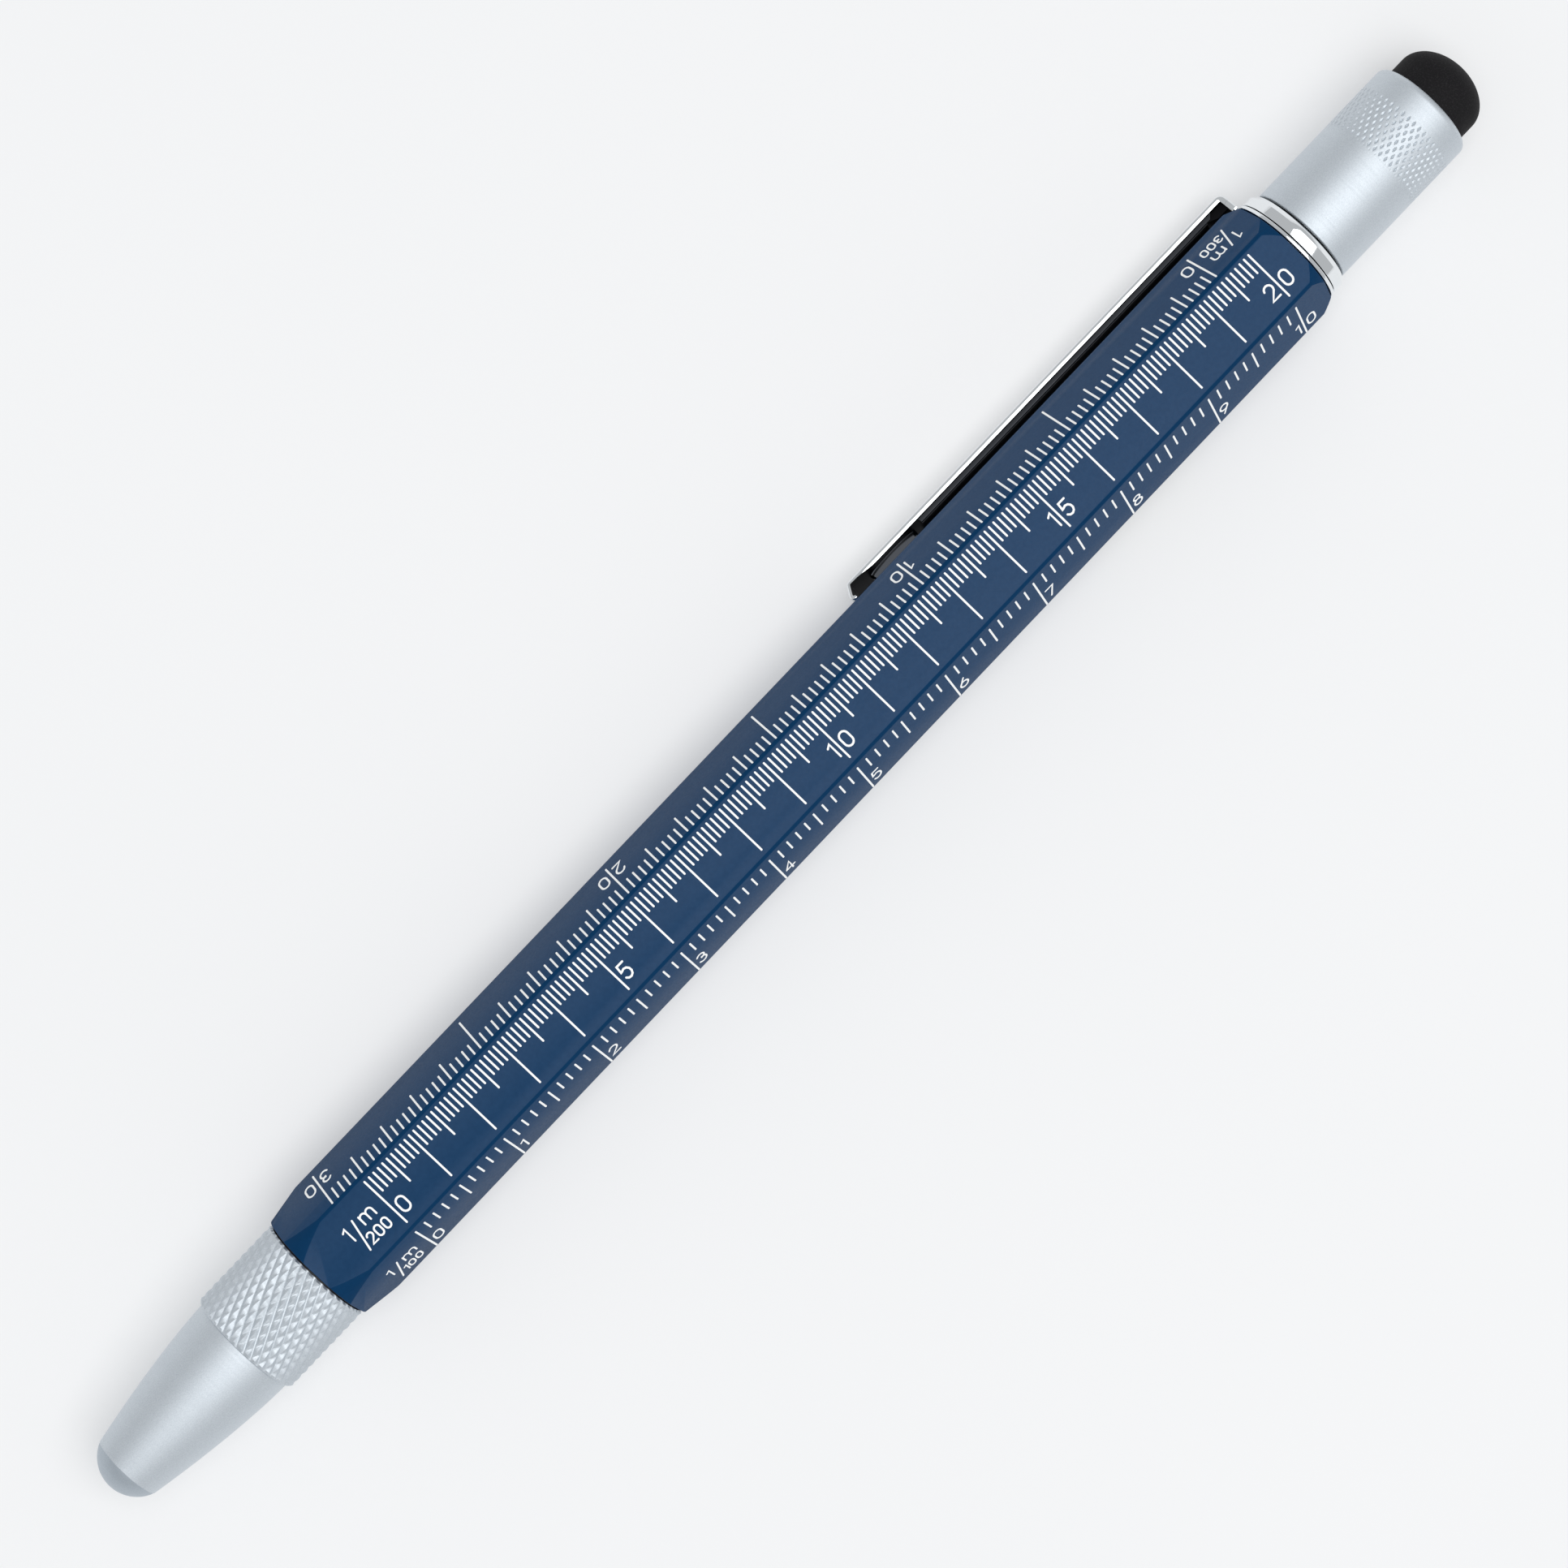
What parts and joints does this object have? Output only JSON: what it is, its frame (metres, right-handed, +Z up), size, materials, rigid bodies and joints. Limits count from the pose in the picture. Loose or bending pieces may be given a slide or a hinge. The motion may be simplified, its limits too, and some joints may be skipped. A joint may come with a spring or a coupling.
{
  "type": "multi tool pen",
  "caption": "Hexagonal scale-ruled tool pen with screw-off knurled caps over a nib and a reversible driver bit, a touch tip, a spirit level and a sprung pocket clip.",
  "frame": {"origin": "middle of the barrel's bottom flat, which the pen lies on", "axes": "+X along the pen from the writing end to the touch tip, +Y to the clip's side, +Z up"},
  "size_m": [0.155, 0.0126, 0.0102],
  "materials": {
    "navy_lacquer": "satin baked lacquer on brass tube",
    "satin_aluminium": "turned, blasted and anodised satin",
    "chrome": "polished plate",
    "brass": "turned, unplated",
    "steel": "ground",
    "black_plastic": "moulded",
    "rubber": "matte moulded",
    "clear_acrylic": "clear",
    "level_fluid": "tinted liquid"
  },
  "bodies": {
    "barrel": {"barrel": "navy_lacquer", "front_bush": "brass", "rear_collar": "chrome", "clip_ring": "chrome", "bit_holder": "steel", "bit_magnet": "steel", "collar_seal": "rubber", "level_cradle": "black_plastic", "level_vial": "clear_acrylic", "level_fluid": "level_fluid", "level_plug_front": "rubber", "level_plug_rear": "rubber", "level_window": "clear_acrylic"},
    "section_slide": {"neck_seal": "rubber"},
    "section": {"nib_section": "black_plastic", "nib_collar": "black_plastic", "feed": "black_plastic", "nib": "steel", "converter_mouth": "steel", "converter_tube": "clear_acrylic", "converter_collar": "steel"},
    "piston": {"converter_piston": "rubber", "converter_rod": "steel"},
    "knob": {"converter_knob": "black_plastic"},
    "front_cap_slide": {"inner_cap": "black_plastic"},
    "front_cap": {"front_cap": "satin_aluminium"},
    "stylus_cap_slide": {"stylus_insert": "brass", "stylus_retainer": "brass", "stylus_tip": "rubber", "stylus_core": "black_plastic"},
    "stylus_cap": {"stylus_cap": "satin_aluminium"},
    "bit": {"driver_bit": "steel"},
    "clip_arm": {"clip_arm": "chrome"}
  },
  "joints": [
    {"name": "section_pull", "type": "slide", "parent": "barrel", "child": "section_slide", "axis": [-1, 0, 0], "range_m": [0, 0.0725]},
    {"name": "section_turn", "type": "hinge", "parent": "section_slide", "child": "section", "pos_m": [-0.0554, 0, 0.00495], "axis": [-1, 0, 0], "range_deg": [0, 1080]},
    {"name": "front_cap_pull", "type": "slide", "parent": "section", "child": "front_cap_slide", "axis": [-1, 0, 0], "range_m": [0, 0.0237]},
    {"name": "front_cap_turn", "type": "hinge", "parent": "front_cap_slide", "child": "front_cap", "pos_m": [-0.0555, 0, 0.00495], "axis": [-1, 0, 0], "range_deg": [0, 720]},
    {"name": "converter_knob_turn", "type": "hinge", "parent": "section", "child": "knob", "pos_m": [-0.0037, 0, 0.00495], "axis": [1, 0, 0], "range_deg": [0, 2880]},
    {"name": "piston_slide", "type": "slide", "parent": "section", "child": "piston", "axis": [-1, 0, 0], "range_m": [0, 0.01998]},
    {"name": "stylus_cap_pull", "type": "slide", "parent": "barrel", "child": "stylus_cap_slide", "axis": [1, 0, 0], "range_m": [0, 0.045]},
    {"name": "stylus_cap_turn", "type": "hinge", "parent": "stylus_cap_slide", "child": "stylus_cap", "pos_m": [0.05739, 0, 0.00495], "axis": [1, 0, 0], "range_deg": [0, 720]},
    {"name": "bit_pull", "type": "slide", "parent": "barrel", "child": "bit", "axis": [1, 0, 0], "range_m": [0, 0.018]},
    {"name": "clip_flex", "type": "hinge", "parent": "barrel", "child": "clip_arm", "pos_m": [0.05565, 0.00546, 0.0018], "axis": [0, -0.5, -0.866], "range_deg": [0, 3.5], "stiffness_Nm_per_rad": 1}
  ],
  "couplings": [
    {"joint": "section_turn", "follows": "section_pull", "rad_per_m": 259.99},
    {"joint": "front_cap_turn", "follows": "front_cap_pull", "rad_per_m": 530.23},
    {"joint": "stylus_cap_turn", "follows": "stylus_cap_pull", "rad_per_m": 279.25},
    {"joint": "bit_pull", "follows": "stylus_cap_pull", "ratio": 0.4},
    {"joint": "converter_knob_turn", "follows": "piston_slide", "rad_per_m": 2515.8}
  ]
}
